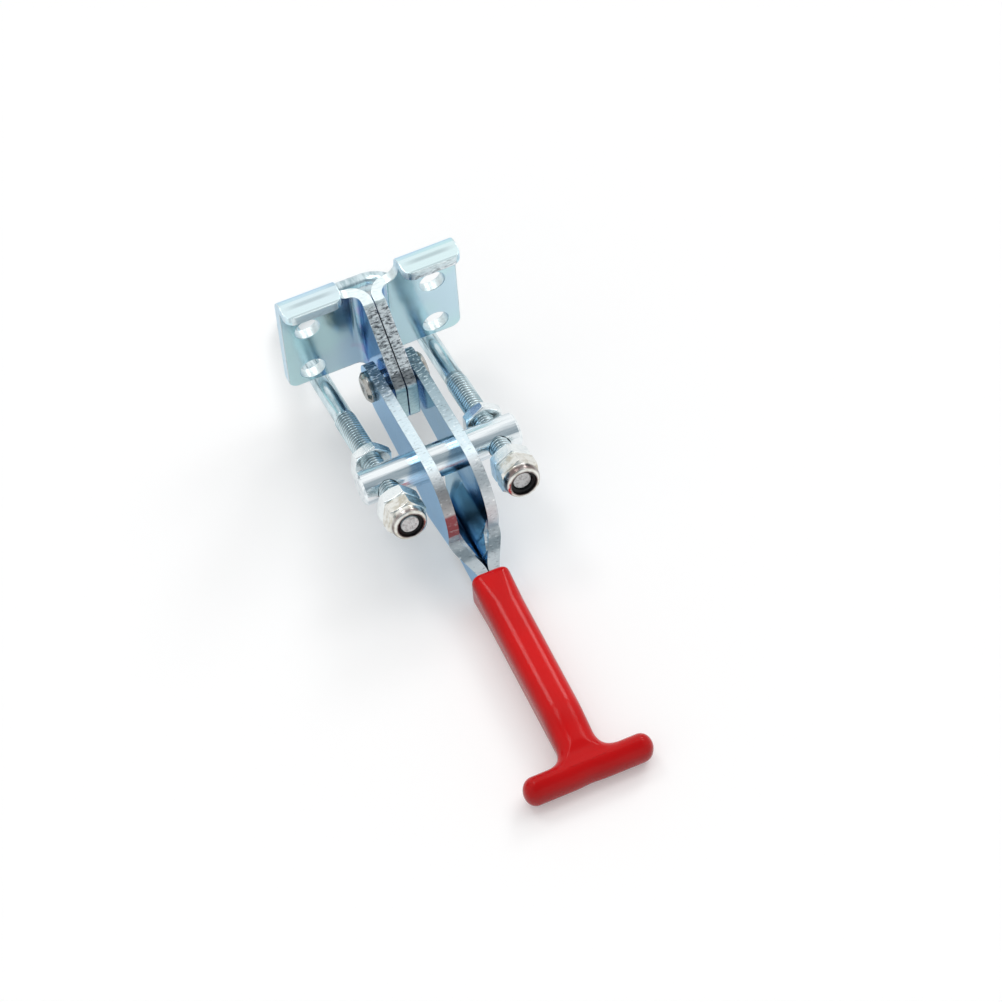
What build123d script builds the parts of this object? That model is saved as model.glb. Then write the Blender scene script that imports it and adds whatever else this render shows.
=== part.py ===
from build123d import *
from math import atan, cos, degrees, radians, sin, tan
import os

# Over-centre toggle latch, front mounted, with a T handle and an adjustable U-bolt.
#
# Frame: +X along the pivots, +Y into the wall that the latch is bolted to, +Z up.
# The origin is the centre of the four mounting holes, on the mounting face. The latch
# is closed: the handle points to -Y and the loop of the U-bolt reaches past the wall
# plane to +Y. All sizes are millimetres.

# ------------------------------------------------------------------ driving dimensions

# Base: two folded plates, back to back
base_sheet = 3.0
halves_gap = 0.2
flange_width = 49.0
flange_height = 36.4
notch_drop = 8.0
notch_width = 17.0
notch_radius = 3.6
lip_depth = 9.0
lip_bend_radius = 1.7
flange_corner_radius = 3.0
lip_corner_radius = 3.0
hole_diameter = 7.0
hole_pitch_x = 35.0
hole_pitch_z = 17.0
lower_hole_height = 5.0
web_reach = 26.0
web_front_height = 14.2
web_rise = 0.75
web_bend_radius = 2.5
web_corner_radius = 3.0

# Pivot rivet
pivot_reach = 16.5
pivot_height = 7.3
rivet_diameter = 6.0
rivet_running_clearance = 0.05
rivet_head_diameter = 8.4
rivet_head_height = 1.8
rivet_rim_height = 1.0
rivet_face_diameter = 6.4
rivet_dimple_diameter = 4.4
rivet_dimple_depth = 0.5

# Handle plates: u runs forward from the pivot, v up from it
handle_sheet = 3.0
handle_side_clearance = 0.85
plates_gap = 0.2
heel_radius = 5.9
heel_sweep = 60.0
crest_u = 37.9
crest_v = -1.2
crest_radius = 13.3
crest_low_angle = -18.0
belly_v = -7.7
neck_u = 33.4
neck_foot_u = 41.2
neck_radius = 6.0
tang_top_v = -11.4
tang_height_at_bar = 5.8
tang_taper_length = 8.0
tang_neck_behind_mouth = 2.0
cut_margin = 1.0
joggle_u = 51.2
joggle_v = -5.6
joggle_tilt = 20.4
joggle_run = 6.3
joggle_bend_radius = 1.6

# Grip: vinyl, dipped over the joined tangs and over the cross bar
vinyl_wall = 2.1
grip_mouth_u = 59.5
grip_edge_radius = 2.6
grip_mouth_radius = 0.7
stem_overlap = 3.0
bar_u = 119.7
bar_length = 35.0
bar_thickness = 6.6
bar_height = 9.8
bar_bend_radius = 2.0
bar_bend_land = 0.2
bar_inside_fillet = 8.0
bar_end_share = 0.47
valley_depth = 1.3
valley_width = 13.0

# Trunnion, through both handle plates
trunnion_u = 28.9
trunnion_v = 0.1
trunnion_diameter = 9.2
trunnion_length = 43.8
trunnion_chamfer = 0.6
trunnion_running_clearance = 0.05
leg_running_clearance = 0.15

# U-bolt
rod_slope = 14.35
leg_pitch = 30.9
shank_diameter = 5.3
thread_diameter = 5.9
thread_length = 45.0
thread_end_land = 0.02
bolt_end_ahead = 19.0
bolt_end_chamfer = 0.6
loop_behind = 77.4
loop_corner_radius = 7.0

# Nuts on the legs: (left, right) where the two legs' nuts were run down differently
nut_across_flats = 10.0
nut_rim_share = 0.95
jam_nut_behind = (6.7, 5.7)
jam_nut_height = 3.2
jam_nut_turn = (-17.0, -26.0)
stop_nut_height = 4.0
lock_nut_ahead = (13.0, 13.8)
lock_nut_height = 6.7
lock_nut_hex_height = 4.4
lock_nut_collar_diameter = 9.6
lock_nut_mouth_diameter = 7.0
lock_nut_crimp = 1.3
crimp_shoulder = 0.4
crimp_crown = 0.35
lock_nut_turn = (-14.0, -26.0)
nylon_recess = 0.7
nylon_height = 1.9
nylon_bore_diameter = 5.2
nylon_funnel = 0.2

# How far an edge may lie from where it is looked for
edge_tolerance = 0.01

# ------------------------------------------------------------------ derived placement

flange_bottom = -(hole_pitch_z / 2 + lower_hole_height)
flange_top = flange_bottom + flange_height
notch_floor = flange_top - notch_drop
web_front = -web_reach
web_front_top = flange_bottom + web_front_height
web_inner = halves_gap / 2
web_outer = web_inner + base_sheet

pivot_y = -pivot_reach
pivot_z = flange_bottom + pivot_height
plate_inner = web_outer + handle_side_clearance
plate_outer = plate_inner + handle_sheet
tang_inner = plates_gap / 2
tang_outer = tang_inner + handle_sheet

trunnion_y = pivot_y - trunnion_u
trunnion_z = pivot_z + trunnion_v
trunnion_centre = Vector(0, trunnion_y, trunnion_z)
leg_x = leg_pitch / 2
slope = radians(rod_slope)
along_rod = Vector(0, cos(slope), -sin(slope))
above_rod = Vector(0, sin(slope), cos(slope))

# The closed latch lies on the loop of the U-bolt and on the cross bar of the handle.
loop_tip = trunnion_centre + along_rod * loop_behind
ground = loop_tip.Z - shank_diameter / 2
bar_v = ground + bar_height / 2 - pivot_z
bar_y = pivot_y - bar_u
tang_bottom_v = ground + vinyl_wall - pivot_z

# Side view of the handle: local x runs forward (-Y), local y runs up, origin at the pivot
side_plane = Plane(origin=(0, pivot_y, pivot_z), x_dir=(0, -1, 0), z_dir=(-1, 0, 0))
# Plane that holds the centre lines of both legs: local y runs down to the loop
rod_plane = Plane(origin=trunnion_centre, x_dir=(1, 0, 0), z_dir=above_rod)


def leg_point(side, behind):
    """The point on one leg's centre line, that far behind the trunnion's axis."""
    return trunnion_centre + along_rod * behind + Vector(side * leg_x, 0, 0)


def across_leg(side, behind):
    """A plane square to one leg, that looks down it to the loop."""
    return Plane(origin=leg_point(side, behind), x_dir=(1, 0, 0), z_dir=along_rod)


def beside_leg(side, behind):
    """A plane through one leg's axis: x is the radius, y runs back along the leg."""
    return Plane(origin=leg_point(side, behind), x_dir=(1, 0, 0), z_dir=above_rod)


def beside_leg_forward(side, behind):
    """The same plane turned over: x is the radius, y runs forward along the leg."""
    return Plane(origin=leg_point(side, behind), x_dir=(1, 0, 0), z_dir=-above_rod)


def leg_axis(side):
    """The centre line of one leg."""
    return Axis(leg_point(side, 0), along_rod)


# ------------------------------------------------------------------ base

# Right half: a web and a flange folded from one plate, with a lip folded forward on top
with BuildPart() as base_right_half:
    with BuildSketch(Plane.XY.offset(flange_bottom)) as fold_section:
        with BuildLine():
            Polyline(
                (web_inner, web_front),
                (web_inner, 0),
                (flange_width / 2, 0),
                (flange_width / 2, -base_sheet),
                (web_outer, -base_sheet),
                (web_outer, web_front),
                close=True,
            )
        make_face()
        outside_corner = fold_section.vertices().sort_by_distance((web_inner, 0))[0]
        fillet(outside_corner, web_bend_radius + base_sheet)
        inside_corner = fold_section.vertices().sort_by_distance((web_outer, -base_sheet))[0]
        fillet(inside_corner, web_bend_radius)
    extrude(amount=notch_floor - flange_bottom)

    # The web's top edge rises towards the flange
    with BuildSketch(Plane.YZ):
        with BuildLine():
            Polyline(
                (web_front, web_front_top),
                (web_front + (notch_floor - web_front_top) / web_rise, notch_floor),
                (web_front, notch_floor),
                close=True,
            )
        make_face()
    extrude(amount=web_outer, mode=Mode.SUBTRACT)
    web_noses = base_right_half.edges().filter_by(Axis.X).group_by(Axis.Y)[0]
    fillet(web_noses, web_corner_radius)

    # The flange beside the notch, with its lip
    with BuildSketch(Plane.YZ.offset(notch_width / 2)) as lip_section:
        with BuildLine():
            Polyline(
                (0, flange_bottom),
                (0, flange_top),
                (-lip_depth, flange_top),
                (-lip_depth, flange_top - base_sheet),
                (-base_sheet, flange_top - base_sheet),
                (-base_sheet, flange_bottom),
                close=True,
            )
        make_face()
        outside_corner = lip_section.vertices().sort_by_distance((0, flange_top))[0]
        fillet(outside_corner, lip_bend_radius + base_sheet)
        inside_corner = lip_section.vertices().sort_by_distance(
            (-base_sheet, flange_top - base_sheet)
        )[0]
        fillet(inside_corner, lip_bend_radius)
    extrude(amount=(flange_width - notch_width) / 2)

    # Rounded step from the notch up to the lip
    step_edge = (
        base_right_half.edges()
        .filter_by(Axis.Y)
        .sort_by_distance((notch_width / 2, -base_sheet / 2, notch_floor))[0]
    )
    fillet(step_edge, notch_radius)

    # Rounded corners of the flange and of the lip
    low_corner = (
        base_right_half.edges()
        .filter_by(Axis.Y)
        .sort_by_distance((flange_width / 2, -base_sheet / 2, flange_bottom))[0]
    )
    fillet(low_corner, flange_corner_radius)
    lip_corners = base_right_half.edges().filter_by(Axis.Z).filter_by_position(
        Axis.Y, -lip_depth - edge_tolerance, -lip_depth + edge_tolerance
    )
    fillet(lip_corners, lip_corner_radius)

    with BuildSketch(Plane.XZ):
        with Locations((hole_pitch_x / 2, hole_pitch_z / 2), (hole_pitch_x / 2, -hole_pitch_z / 2)):
            Circle(hole_diameter / 2)
    extrude(amount=base_sheet, both=True, mode=Mode.SUBTRACT)

    with BuildSketch(side_plane):
        Circle(rivet_diameter / 2 + rivet_running_clearance)
    extrude(amount=web_outer, both=True, mode=Mode.SUBTRACT)

base_right_half.part.label = "base_right_half"

with BuildPart() as base_left_half:
    mirror(base_right_half.part, about=Plane.YZ)

base_left_half.part.label = "base_left_half"

# ------------------------------------------------------------------ pivot rivet

with BuildPart() as pivot_rivet:
    with BuildSketch(Plane.XZ.offset(-pivot_y)):
        with BuildLine():
            Polyline(
                (0, pivot_z),
                (0, pivot_z + rivet_diameter / 2),
                (plate_outer, pivot_z + rivet_diameter / 2),
                (plate_outer, pivot_z + rivet_head_diameter / 2),
                (plate_outer + rivet_rim_height, pivot_z + rivet_head_diameter / 2),
                (plate_outer + rivet_head_height, pivot_z + rivet_face_diameter / 2),
                (plate_outer + rivet_head_height, pivot_z + rivet_dimple_diameter / 2),
                (plate_outer + rivet_head_height - rivet_dimple_depth, pivot_z),
                close=True,
            )
        make_face()
    revolve(axis=Axis((0, pivot_y, pivot_z), (1, 0, 0)))
    mirror(about=Plane.YZ)

pivot_rivet.part.label = "pivot_rivet"

# ------------------------------------------------------------------ handle plates

# The top edge is the common tangent of the heel arc and the crest arc.
crest_distance = (crest_u**2 + crest_v**2) ** 0.5
crest_bearing = degrees(atan(crest_v / crest_u))
tangent_rise = degrees(atan((crest_radius - heel_radius) / crest_distance))
top_angle = 90 + crest_bearing + tangent_rise
heel_top = Vector(heel_radius * cos(radians(top_angle)), heel_radius * sin(radians(top_angle)))
crest_top = Vector(
    crest_u + crest_radius * cos(radians(top_angle)),
    crest_v + crest_radius * sin(radians(top_angle)),
)
heel_low_angle = 180 + heel_sweep
heel_low = Vector(
    heel_radius * cos(radians(heel_low_angle)),
    heel_radius * sin(radians(heel_low_angle)),
)
heel_foot = Vector(
    heel_low.X + (heel_low.Y - belly_v) * tan(radians(heel_sweep)), belly_v
)
bar_core_top = bar_v + tang_height_at_bar / 2
bar_core_bottom = bar_v - tang_height_at_bar / 2
tang_end_u = bar_u - handle_sheet / 2 - bar_bend_radius - bar_bend_land

# Section across the joggle: local x runs down across the folds, local y is +X
fold_direction = Vector(0, -cos(radians(joggle_tilt)), sin(radians(joggle_tilt)))
across_folds = Vector(0, -sin(radians(joggle_tilt)), -cos(radians(joggle_tilt)))
joggle_plane = Plane(
    origin=(0, pivot_y - joggle_u, pivot_z + joggle_v),
    x_dir=across_folds,
    z_dir=fold_direction,
)
joggle_angle = atan((plate_inner - tang_inner) / joggle_run)
fold_shift = handle_sheet * tan(joggle_angle / 2)
plate_reach = bar_u + crest_radius
arm_end = bar_length / 2 - vinyl_wall
crest_end = (
    crest_u + crest_radius * cos(radians(crest_low_angle)),
    crest_v + crest_radius * sin(radians(crest_low_angle)),
)
crest_middle = (
    crest_u + crest_radius * cos(radians((crest_low_angle + top_angle) / 2)),
    crest_v + crest_radius * sin(radians((crest_low_angle + top_angle) / 2)),
)

with BuildPart() as handle_plate_right:
    # One plate with two parallel slanted folds, which bring it in to the middle
    with BuildSketch(joggle_plane) as joggle_section:
        with BuildLine():
            Polyline(
                (-plate_reach, plate_inner),
                (0, plate_inner),
                (joggle_run, tang_inner),
                (plate_reach, tang_inner),
                (plate_reach, tang_outer),
                (joggle_run + fold_shift, tang_outer),
                (fold_shift, plate_outer),
                (-plate_reach, plate_outer),
                close=True,
            )
        make_face()
        for corner in ((0, plate_inner), (joggle_run + fold_shift, tang_outer)):
            fillet(joggle_section.vertices().sort_by_distance(corner)[0], joggle_bend_radius)
        for corner in ((fold_shift, plate_outer), (joggle_run, tang_inner)):
            fillet(
                joggle_section.vertices().sort_by_distance(corner)[0],
                joggle_bend_radius + handle_sheet,
            )
    extrude(amount=plate_reach, both=True)

    # The outline seen from the side
    with BuildSketch(side_plane) as plate_outline:
        with BuildLine():
            ThreePointArc(heel_top, (-heel_radius, 0), heel_low)
            Polyline(
                heel_low,
                heel_foot,
                (neck_u, belly_v),
                (neck_foot_u, tang_bottom_v),
                (tang_end_u, bar_core_bottom),
                (tang_end_u, bar_core_top),
                (tang_end_u - tang_taper_length, tang_top_v),
                (grip_mouth_u + tang_neck_behind_mouth, tang_top_v),
                (joggle_u, joggle_v),
                crest_end,
            )
            ThreePointArc(crest_end, crest_middle, crest_top)
            Line(crest_top, heel_top)
        make_face()
        for corner, radius in (
            (heel_foot, heel_radius),
            ((neck_u, belly_v), neck_radius),
            ((neck_foot_u, tang_bottom_v), neck_radius),
            ((grip_mouth_u + tang_neck_behind_mouth, tang_top_v), neck_radius),
        ):
            fillet(plate_outline.vertices().sort_by_distance(corner)[0], radius)
    extrude(amount=plate_outer + cut_margin, both=True, mode=Mode.INTERSECT)

    # The arm of the cross bar, bent outwards
    with BuildSketch(Plane.XY.offset(pivot_z + bar_core_bottom)) as arm_section:
        with BuildLine():
            Polyline(
                (tang_inner, pivot_y - tang_end_u),
                (tang_outer, pivot_y - tang_end_u),
                (tang_outer, bar_y + handle_sheet / 2),
                (arm_end, bar_y + handle_sheet / 2),
                (arm_end, bar_y - handle_sheet / 2),
                (tang_inner, bar_y - handle_sheet / 2),
                close=True,
            )
        make_face()
        inside = arm_section.vertices().sort_by_distance((tang_outer, bar_y + handle_sheet / 2))[0]
        fillet(inside, bar_bend_radius)
        outside = arm_section.vertices().sort_by_distance((tang_inner, bar_y - handle_sheet / 2))[0]
        fillet(outside, bar_bend_radius + handle_sheet)
    extrude(amount=tang_height_at_bar)

    # Holes for the rivet and for the trunnion
    with BuildSketch(side_plane):
        Circle(rivet_diameter / 2)
        with Locations((trunnion_u, trunnion_v)):
            Circle(trunnion_diameter / 2 + trunnion_running_clearance)
    extrude(amount=plate_outer + cut_margin, both=True, mode=Mode.SUBTRACT)

handle_plate_right.part.label = "handle_plate_right"

with BuildPart() as handle_plate_left:
    mirror(handle_plate_right.part, about=Plane.YZ)

handle_plate_left.part.label = "handle_plate_left"

# ------------------------------------------------------------------ grip

stem_height = pivot_z + tang_top_v + vinyl_wall - ground
stem_half_width = tang_outer + vinyl_wall
mouth_y = pivot_y - grip_mouth_u
bar_front = bar_y - bar_thickness / 2
bar_back = bar_y + bar_thickness / 2
stem_root_y = bar_back + bar_inside_fillet + stem_overlap
stem_drop_y = stem_root_y - stem_overlap / 2
bar_end_radius = bar_thickness * bar_end_share

with BuildPart() as grip:
    # T outline from above, with a shallow valley where the arms part
    with BuildSketch(Plane.XY.offset(ground)) as grip_plan:
        with BuildLine():
            Polyline(
                (-valley_width / 2, bar_front),
                (-bar_length / 2, bar_front),
                (-bar_length / 2, bar_back),
                (-stem_half_width, bar_back),
                (-stem_half_width, stem_root_y),
                (stem_half_width, stem_root_y),
                (stem_half_width, bar_back),
                (bar_length / 2, bar_back),
                (bar_length / 2, bar_front),
                (valley_width / 2, bar_front),
            )
            TangentArc(
                (-valley_width / 2, bar_front),
                (-valley_width / 4, bar_front + valley_depth / 2),
                tangent=(1, 0),
            )
            ThreePointArc(
                (-valley_width / 4, bar_front + valley_depth / 2),
                (0, bar_front + valley_depth),
                (valley_width / 4, bar_front + valley_depth / 2),
            )
            TangentArc(
                (valley_width / 2, bar_front),
                (valley_width / 4, bar_front + valley_depth / 2),
                tangent=(-1, 0),
            )
        make_face()
        for side in (-1, 1):
            inside = grip_plan.vertices().sort_by_distance((side * stem_half_width, bar_back))[0]
            fillet(inside, bar_inside_fillet)
            for end in (bar_front, bar_back):
                corner = grip_plan.vertices().sort_by_distance((side * bar_length / 2, end))[0]
                fillet(corner, bar_end_radius)
    extrude(amount=bar_height)
    rims = grip.faces().filter_by(Axis.Z).edges().sort_by(Axis.Y)[:-2]
    fillet(rims, grip_edge_radius)

    # Stem, higher than the bar, which drops to it at the end
    with BuildSketch(Plane.XZ.offset(-mouth_y)):
        with Locations((0, ground + stem_height / 2)):
            RectangleRounded(2 * stem_half_width, stem_height, grip_edge_radius)
    extrude(amount=mouth_y - stem_drop_y)
    with BuildSketch(Plane.XZ.offset(-stem_drop_y)):
        with Locations((0, ground + stem_height / 2)):
            RectangleRounded(2 * stem_half_width, stem_height, grip_edge_radius)
    with BuildSketch(Plane.XZ.offset(-bar_back)):
        with Locations((0, ground + bar_height / 2)):
            RectangleRounded(2 * stem_half_width, bar_height, grip_edge_radius)
    loft()
    fillet(grip.faces().sort_by(Axis.Y)[-1].edges(), grip_mouth_radius)

    # The steel inside
    add(handle_plate_right.part, mode=Mode.SUBTRACT)
    add(handle_plate_left.part, mode=Mode.SUBTRACT)

grip.part.label = "grip"

# ------------------------------------------------------------------ trunnion

with BuildPart() as trunnion:
    with BuildSketch(Plane.YZ):
        with Locations((trunnion_y, trunnion_z)):
            Circle(trunnion_diameter / 2)
    extrude(amount=trunnion_length / 2, both=True)
    end_rims = trunnion.edges().filter_by(GeomType.CIRCLE)
    chamfer(end_rims, trunnion_chamfer)
    for side in (-1, 1):
        with BuildSketch(across_leg(side, 0)):
            Circle(thread_diameter / 2 + leg_running_clearance)
        extrude(amount=trunnion_diameter, both=True, mode=Mode.SUBTRACT)

trunnion.part.label = "trunnion"

# ------------------------------------------------------------------ U-bolt

thread_end_behind = thread_length - bolt_end_ahead

with BuildPart() as u_bolt:
    with BuildLine(rod_plane) as loop_line:
        FilletPolyline(
            (-leg_x, thread_end_behind),
            (-leg_x, loop_behind),
            (leg_x, loop_behind),
            (leg_x, thread_end_behind),
            radius=loop_corner_radius,
        )
    with BuildSketch(across_leg(-1, thread_end_behind)):
        Circle(shank_diameter / 2)
    sweep(path=loop_line.wires()[0])
    for side in (-1, 1):
        with BuildSketch(across_leg(side, -bolt_end_ahead)):
            Circle(thread_diameter / 2)
        extrude(amount=thread_length)
    rims = u_bolt.edges().filter_by(GeomType.CIRCLE).filter_by(
        lambda edge: abs(edge.radius - thread_diameter / 2) < edge_tolerance
    )
    chamfer(rims.sort_by(Axis.Y)[:2], bolt_end_chamfer)
    thread_step = (thread_diameter - shank_diameter) / 2
    chamfer(rims.sort_by(Axis.Y)[2:], thread_step - thread_end_land)

u_bolt.part.label = "u_bolt"

# ------------------------------------------------------------------ nuts

nut_corner_radius = nut_across_flats / 2 / cos(radians(30))
nut_rim_radius = nut_across_flats / 2 * nut_rim_share
nut_chamfer_drop = (nut_corner_radius - nut_rim_radius) * tan(radians(30))
bolt_radius = thread_diameter / 2
nylon_front = lock_nut_height - nylon_recess
crimp_middle_radius = (lock_nut_collar_diameter + lock_nut_mouth_diameter) / 4 + crimp_crown

jam_nuts = {}
stop_nuts = {}
lock_nuts = {}
nylon_rings = {}

for side, side_name, behind, jam_turn, ahead, lock_turn in (
    (-1, "left", jam_nut_behind[0], jam_nut_turn[0], lock_nut_ahead[0], lock_nut_turn[0]),
    (1, "right", jam_nut_behind[1], jam_nut_turn[1], lock_nut_ahead[1], lock_nut_turn[1]),
):
    with BuildPart() as jam_nut:
        with BuildSketch(across_leg(side, behind)):
            RegularPolygon(nut_across_flats / 2, 6, major_radius=False, rotation=jam_turn)
        extrude(amount=jam_nut_height)
        with BuildSketch(beside_leg(side, behind)):
            Polygon(
                (0, 0),
                (nut_rim_radius, 0),
                (nut_corner_radius, nut_chamfer_drop),
                (nut_corner_radius, jam_nut_height - nut_chamfer_drop),
                (nut_rim_radius, jam_nut_height),
                (0, jam_nut_height),
                align=None,
            )
        revolve(axis=leg_axis(side), mode=Mode.INTERSECT)
        with BuildSketch(across_leg(side, behind)):
            Circle(bolt_radius)
        extrude(amount=jam_nut_height, mode=Mode.SUBTRACT)

    jam_nut.part.label = "jam_nut_" + side_name
    jam_nuts[side_name] = jam_nut.part

    # Plain nut that the lock nut is tightened against
    with BuildPart() as stop_nut:
        with BuildSketch(across_leg(side, -ahead)):
            RegularPolygon(nut_across_flats / 2, 6, major_radius=False, rotation=lock_turn)
        extrude(amount=stop_nut_height)
        with BuildSketch(beside_leg(side, -ahead)):
            Polygon(
                (0, 0),
                (nut_rim_radius, 0),
                (nut_corner_radius, nut_chamfer_drop),
                (nut_corner_radius, stop_nut_height - nut_chamfer_drop),
                (nut_rim_radius, stop_nut_height),
                (0, stop_nut_height),
                align=None,
            )
        revolve(axis=leg_axis(side), mode=Mode.INTERSECT)
        with BuildSketch(across_leg(side, -ahead)):
            Circle(bolt_radius)
        extrude(amount=stop_nut_height, mode=Mode.SUBTRACT)

    stop_nut.part.label = "stop_nut_" + side_name
    stop_nuts[side_name] = stop_nut.part

    with BuildPart() as lock_nut:
        with BuildSketch(across_leg(side, -ahead)):
            RegularPolygon(nut_across_flats / 2, 6, major_radius=False, rotation=lock_turn)
        extrude(amount=-lock_nut_hex_height)
        with BuildSketch(beside_leg_forward(side, -ahead)):
            Polygon(
                (0, 0),
                (nut_rim_radius, 0),
                (nut_corner_radius, nut_chamfer_drop),
                (nut_corner_radius, lock_nut_hex_height - nut_chamfer_drop),
                (nut_rim_radius, lock_nut_hex_height),
                (0, lock_nut_hex_height),
                align=None,
            )
        revolve(axis=leg_axis(side), mode=Mode.INTERSECT)
        # Round collar, crimped in over the nylon ring
        with BuildSketch(beside_leg_forward(side, -ahead)):
            Polygon(
                (0, lock_nut_hex_height / 2),
                (lock_nut_collar_diameter / 2, lock_nut_hex_height / 2),
                (lock_nut_collar_diameter / 2, lock_nut_height - lock_nut_crimp),
                (crimp_middle_radius, lock_nut_height - crimp_shoulder),
                (lock_nut_mouth_diameter / 2, lock_nut_height),
                (0, lock_nut_height),
                align=None,
            )
        revolve(axis=leg_axis(side))
        # Thread, ring pocket and mouth
        with BuildSketch(beside_leg_forward(side, -ahead)):
            Polygon(
                (0, 0),
                (bolt_radius, 0),
                (bolt_radius, nylon_front - nylon_height),
                (lock_nut_mouth_diameter / 2, nylon_front - nylon_height),
                (lock_nut_mouth_diameter / 2, lock_nut_height),
                (0, lock_nut_height),
                align=None,
            )
        revolve(axis=leg_axis(side), mode=Mode.SUBTRACT)

    lock_nut.part.label = "lock_nut_" + side_name
    lock_nuts[side_name] = lock_nut.part

    with BuildPart() as nylon_ring:
        with BuildSketch(beside_leg_forward(side, -ahead)):
            Polygon(
                (nylon_bore_diameter / 2, nylon_front - nylon_height),
                (lock_nut_mouth_diameter / 2, nylon_front - nylon_height),
                (lock_nut_mouth_diameter / 2, nylon_front),
                (nylon_bore_diameter / 2, nylon_front - nylon_funnel),
                align=None,
            )
        revolve(axis=leg_axis(side))
        add(u_bolt.part, mode=Mode.SUBTRACT)

    nylon_ring.part.label = "nylon_ring_" + side_name
    nylon_rings[side_name] = nylon_ring.part

# ------------------------------------------------------------------ files

os.makedirs("parts", exist_ok=True)
export_step(base_left_half.part, "parts/base_left_half.step")
export_step(base_right_half.part, "parts/base_right_half.step")
export_step(pivot_rivet.part, "parts/pivot_rivet.step")
export_step(handle_plate_left.part, "parts/handle_plate_left.step")
export_step(handle_plate_right.part, "parts/handle_plate_right.step")
export_step(grip.part, "parts/grip.step")
export_step(trunnion.part, "parts/trunnion.step")
export_step(u_bolt.part, "parts/u_bolt.step")
for side_name in ("left", "right"):
    export_step(jam_nuts[side_name], f"parts/jam_nut_{side_name}.step")
    export_step(stop_nuts[side_name], f"parts/stop_nut_{side_name}.step")
    export_step(lock_nuts[side_name], f"parts/lock_nut_{side_name}.step")
    export_step(nylon_rings[side_name], f"parts/nylon_ring_{side_name}.step")
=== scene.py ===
"""Looks of an over-centre toggle latch.

Finishes, threads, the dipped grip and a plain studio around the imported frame.
"""

import logging
import math
from dataclasses import dataclass, field
from enum import Enum

import bmesh
import bpy
import numpy as np
from mathutils import Matrix, Vector

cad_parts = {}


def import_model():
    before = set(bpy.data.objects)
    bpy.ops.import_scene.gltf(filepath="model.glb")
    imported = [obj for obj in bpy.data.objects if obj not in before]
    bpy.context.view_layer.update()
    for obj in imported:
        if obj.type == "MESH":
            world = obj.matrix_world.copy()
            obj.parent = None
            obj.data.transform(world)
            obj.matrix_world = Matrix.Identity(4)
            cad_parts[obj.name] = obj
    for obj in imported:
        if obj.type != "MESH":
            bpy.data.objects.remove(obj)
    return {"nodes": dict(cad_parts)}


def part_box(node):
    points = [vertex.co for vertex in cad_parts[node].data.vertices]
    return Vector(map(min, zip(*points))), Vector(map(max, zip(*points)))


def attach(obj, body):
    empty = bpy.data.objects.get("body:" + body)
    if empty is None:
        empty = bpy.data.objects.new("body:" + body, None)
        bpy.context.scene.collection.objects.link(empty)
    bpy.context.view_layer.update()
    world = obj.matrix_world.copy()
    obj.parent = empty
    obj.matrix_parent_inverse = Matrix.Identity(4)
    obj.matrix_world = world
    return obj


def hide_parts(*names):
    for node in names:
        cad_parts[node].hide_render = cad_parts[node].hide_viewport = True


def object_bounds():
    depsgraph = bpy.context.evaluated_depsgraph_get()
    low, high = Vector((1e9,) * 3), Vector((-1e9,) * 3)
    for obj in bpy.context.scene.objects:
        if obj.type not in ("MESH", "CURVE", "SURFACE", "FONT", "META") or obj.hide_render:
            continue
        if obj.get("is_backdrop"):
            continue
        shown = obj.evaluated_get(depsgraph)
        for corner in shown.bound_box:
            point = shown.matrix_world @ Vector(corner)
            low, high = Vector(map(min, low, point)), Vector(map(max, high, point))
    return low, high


log = logging.getLogger("latch")

MM = 0.001

Span = tuple[float, float]
Triple = tuple[float, float, float]
Colour = tuple[float, float, float, float]

# How the frame's edges are rounded for light: metres, degrees and strips.
SAME_POINT = 1e-6
FLAT_ANGLE = 0.5
SHARP_ANGLE = 35.0
EDGE_STRIPS = 2

# The U-bolt's legs, which the thread and the nuts' finish share, in millimetres.
TRUNNION: Triple = (0.0, -45.4, -6.1)
HALF_PITCH = 15.45


def rgb(red: float, green: float, blue: float) -> Colour:
    """An opaque colour in linear light."""
    return (red, green, blue, 1.0)


def neutral(level: float) -> Colour:
    """A grey from black, 0, to white, 1."""
    return rgb(level, level, level)


def eased(share: float | np.ndarray) -> float | np.ndarray:
    """A share from 0 to 1 that starts and ends gently."""
    return share * share * (3.0 - 2.0 * share)


def joined(first: np.ndarray, second: np.ndarray, reach: float) -> np.ndarray:
    """The smaller of two distances, passing softly from one to the other.

    Args:
        first: The distances to one surface.
        second: The distances to the other.
        reach: How wide the passage is.

    Returns:
        The distances to the joined surface.
    """
    share = np.clip(0.5 + 0.5 * (first - second) / reach, 0.0, 1.0)
    return first * (1 - share) + second * share - reach * share * (1 - share)


def past_corner(first: np.ndarray, second: np.ndarray) -> np.ndarray:
    """The distance to a square corner, from the distances to its two walls."""
    outside = np.hypot(np.maximum(first, 0), np.maximum(second, 0))
    return outside + np.minimum(np.maximum(first, second), 0)


# ---------------------------------------------------------------- shader expressions


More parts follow.
